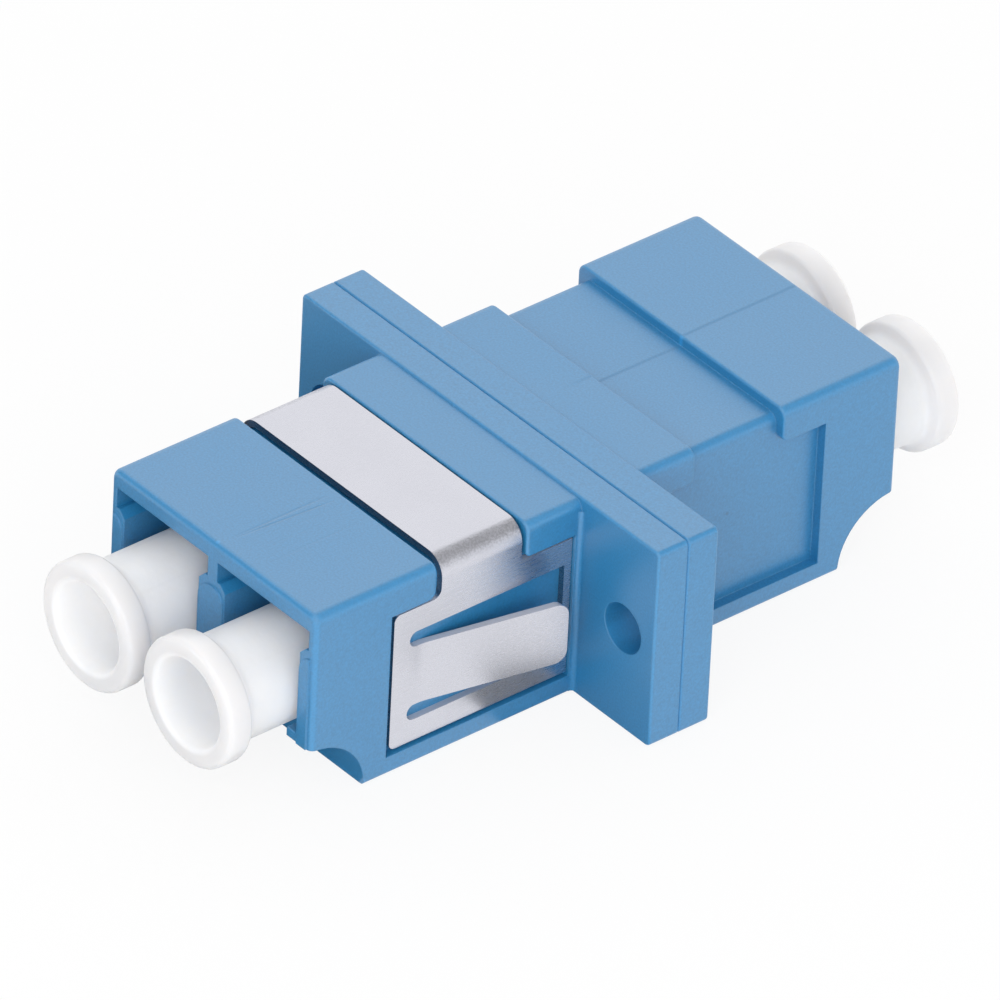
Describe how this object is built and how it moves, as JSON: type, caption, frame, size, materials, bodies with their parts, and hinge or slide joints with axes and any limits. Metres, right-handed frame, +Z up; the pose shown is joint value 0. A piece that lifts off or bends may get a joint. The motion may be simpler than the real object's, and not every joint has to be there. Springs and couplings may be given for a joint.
{
  "type": "fibre optic coupler module",
  "caption": "Flanged duplex adapter that couples two pairs of small fibre connectors end to end, with a spring panel clip and push-in dust caps.",
  "frame": {"origin": "bottom centre, midway between the ports, on the plane where the two halves of the flange meet", "axes": "+X across the ports along the flange, +Y along the fibre towards the rear, +Z up through the body"},
  "size_m": [0.022, 0.0372, 0.0093],
  "materials": {
    "housing": "satin moulded",
    "clip": "fine brushed",
    "sleeve": "polished ceramic",
    "cap": "satin moulded"
  },
  "bodies": {
    "housing": {"front_housing": "housing", "rear_housing": "housing", "panel_clip": "clip", "alignment_sleeve_left": "sleeve", "alignment_sleeve_right": "sleeve"},
    "cap_front_left": {"dust_cap_front_left": "cap"},
    "cap_front_right": {"dust_cap_front_right": "cap"},
    "cap_rear_left": {"dust_cap_rear_left": "cap"},
    "cap_rear_right": {"dust_cap_rear_right": "cap"}
  },
  "joints": [
    {"name": "cap_front_left_slide", "type": "slide", "parent": "housing", "child": "cap_front_left", "axis": [0, -1, 0], "range_m": [0, 0.013]},
    {"name": "cap_front_right_slide", "type": "slide", "parent": "housing", "child": "cap_front_right", "axis": [0, -1, 0], "range_m": [0, 0.013]},
    {"name": "cap_rear_left_slide", "type": "slide", "parent": "housing", "child": "cap_rear_left", "axis": [0, 1, 0], "range_m": [0, 0.013]},
    {"name": "cap_rear_right_slide", "type": "slide", "parent": "housing", "child": "cap_rear_right", "axis": [0, 1, 0], "range_m": [0, 0.013]}
  ]
}
